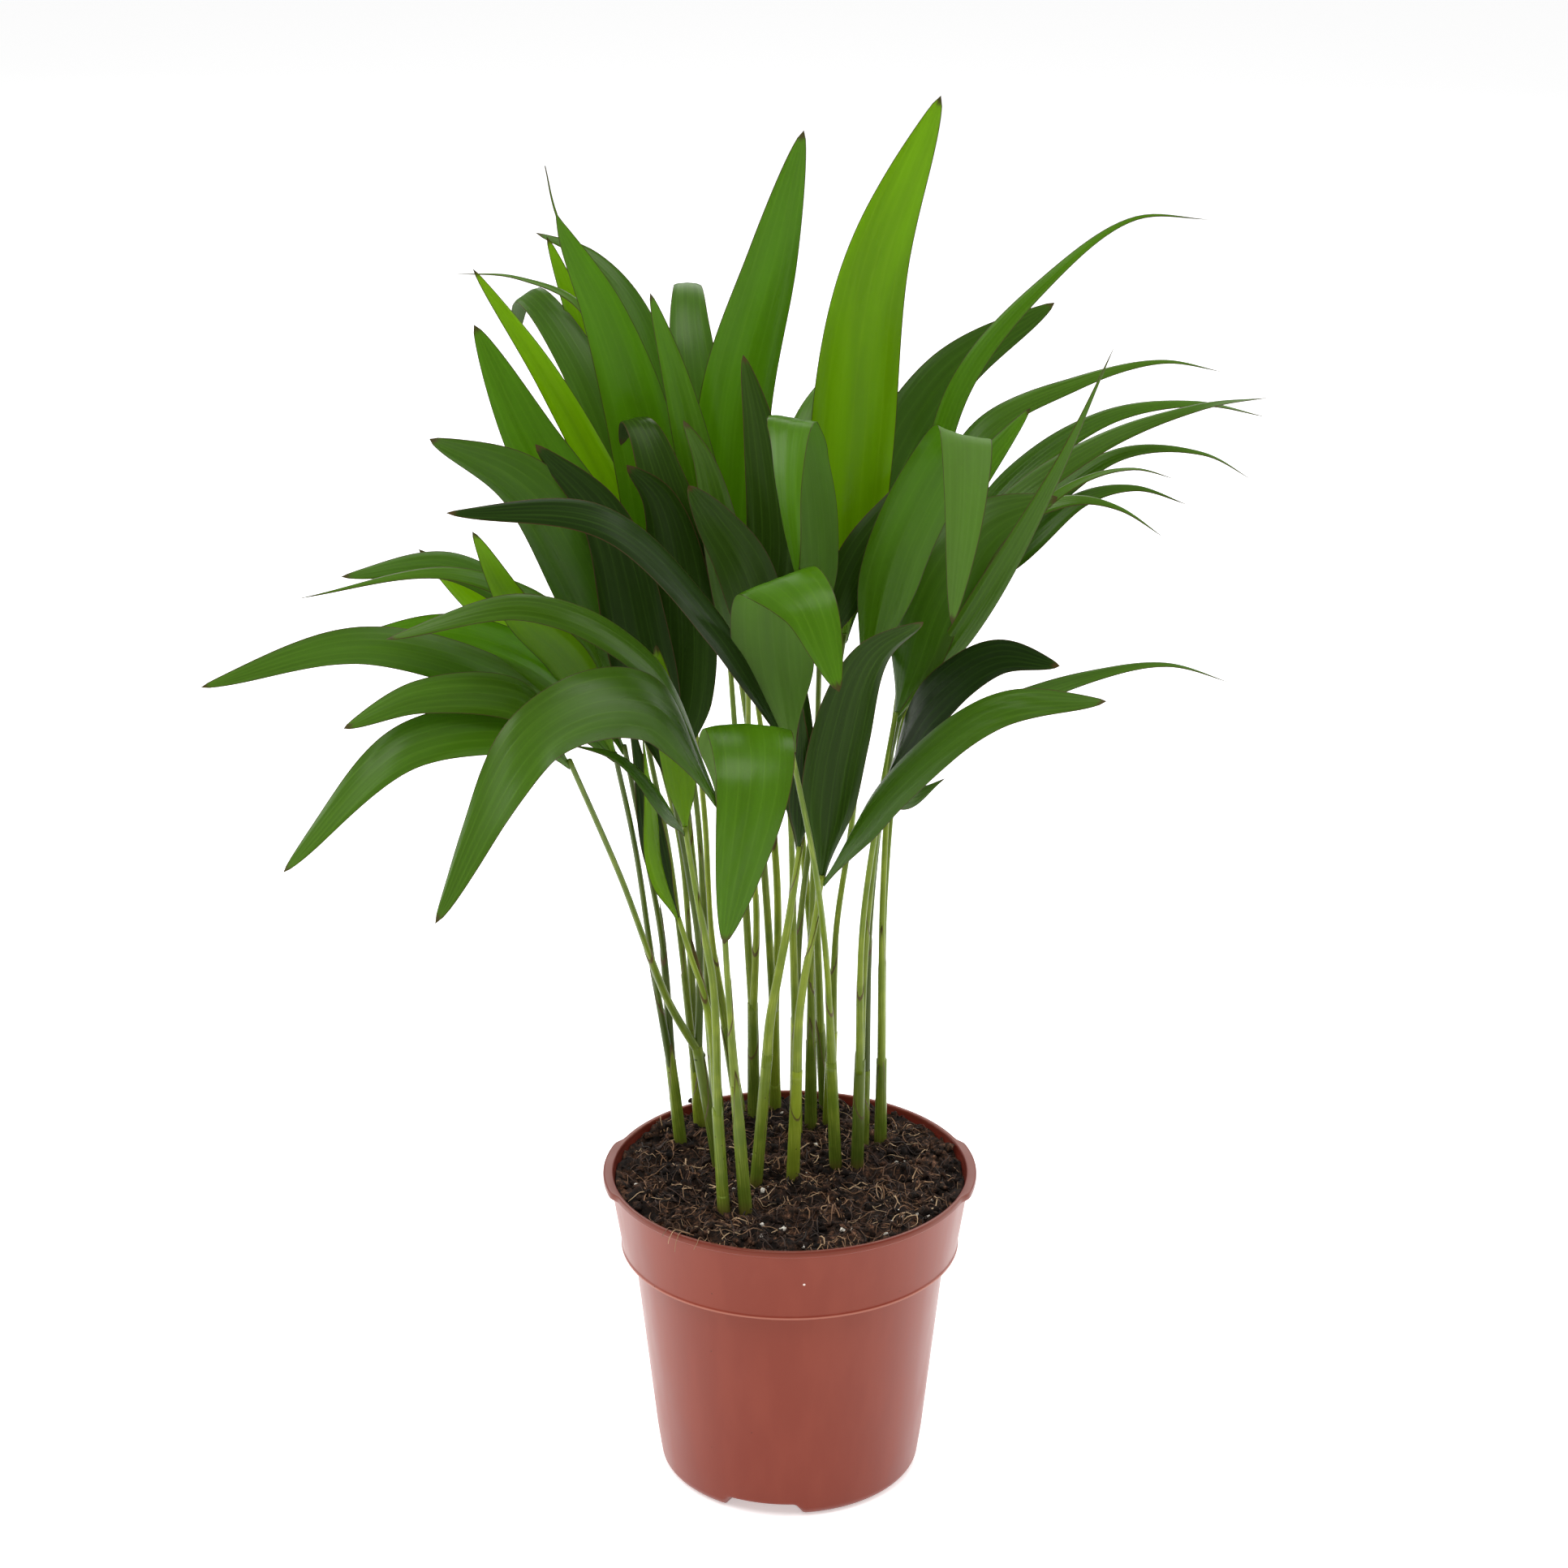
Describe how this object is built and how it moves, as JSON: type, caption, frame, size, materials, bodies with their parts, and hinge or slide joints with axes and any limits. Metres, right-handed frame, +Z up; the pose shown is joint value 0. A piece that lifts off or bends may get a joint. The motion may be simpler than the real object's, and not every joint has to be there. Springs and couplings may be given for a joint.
{
  "type": "potted areca palm",
  "caption": "Young areca palm with arching fronds on slender stalks, growing as a clump of shoots from soil in a round plastic nursery pot.",
  "frame": {"origin": "centre of the whole plant's footprint, which is the pot's axis, at the surface that the pot's feet stand on", "axes": "+Z up along the pot's axis, the length of the part; -Y is the front"},
  "size_m": [0.321, 0.256, 0.452],
  "materials": {
    "pot_plastic": "terracotta-red injection-moulded polypropylene, satin",
    "potting_soil": "dark peat and coir with fine roots and perlite, crumbly",
    "shoot_green": "green leaf sheaths wrapped round the stem, smooth",
    "leaf_green": "living palm leaf, satin upper side with long veins"
  },
  "bodies": {
    "root": {"pot": "pot_plastic", "soil": "potting_soil", "shoot_01": "shoot_green", "shoot_02": "shoot_green", "shoot_03": "shoot_green", "shoot_04": "shoot_green", "shoot_05": "shoot_green", "shoot_06": "shoot_green", "shoot_07": "shoot_green", "shoot_08": "shoot_green", "shoot_09": "shoot_green", "shoot_10": "shoot_green", "shoot_11": "shoot_green", "shoot_12": "shoot_green", "shoot_13": "shoot_green", "shoot_14": "shoot_green", "shoot_15": "shoot_green", "shoot_16": "shoot_green", "shoot_17": "shoot_green", "shoot_18": "shoot_green", "shoot_19": "shoot_green", "frond_01": "leaf_green", "frond_02": "leaf_green", "frond_03": "leaf_green", "frond_04": "leaf_green", "frond_05": "leaf_green", "frond_06": "leaf_green", "frond_07": "leaf_green", "frond_08": "leaf_green", "frond_09": "leaf_green", "frond_10": "leaf_green", "frond_11": "leaf_green", "frond_12": "leaf_green", "frond_13": "leaf_green", "frond_14": "leaf_green", "frond_15": "leaf_green", "frond_16": "leaf_green", "frond_17": "leaf_green", "frond_18": "leaf_green", "frond_19": "leaf_green", "frond_20": "leaf_green", "frond_21": "leaf_green", "frond_22": "leaf_green", "frond_23": "leaf_green", "frond_24": "leaf_green", "frond_25": "leaf_green", "frond_26": "leaf_green", "frond_27": "leaf_green", "frond_28": "leaf_green", "frond_29": "leaf_green", "frond_30": "leaf_green"}
  },
  "joints": []
}
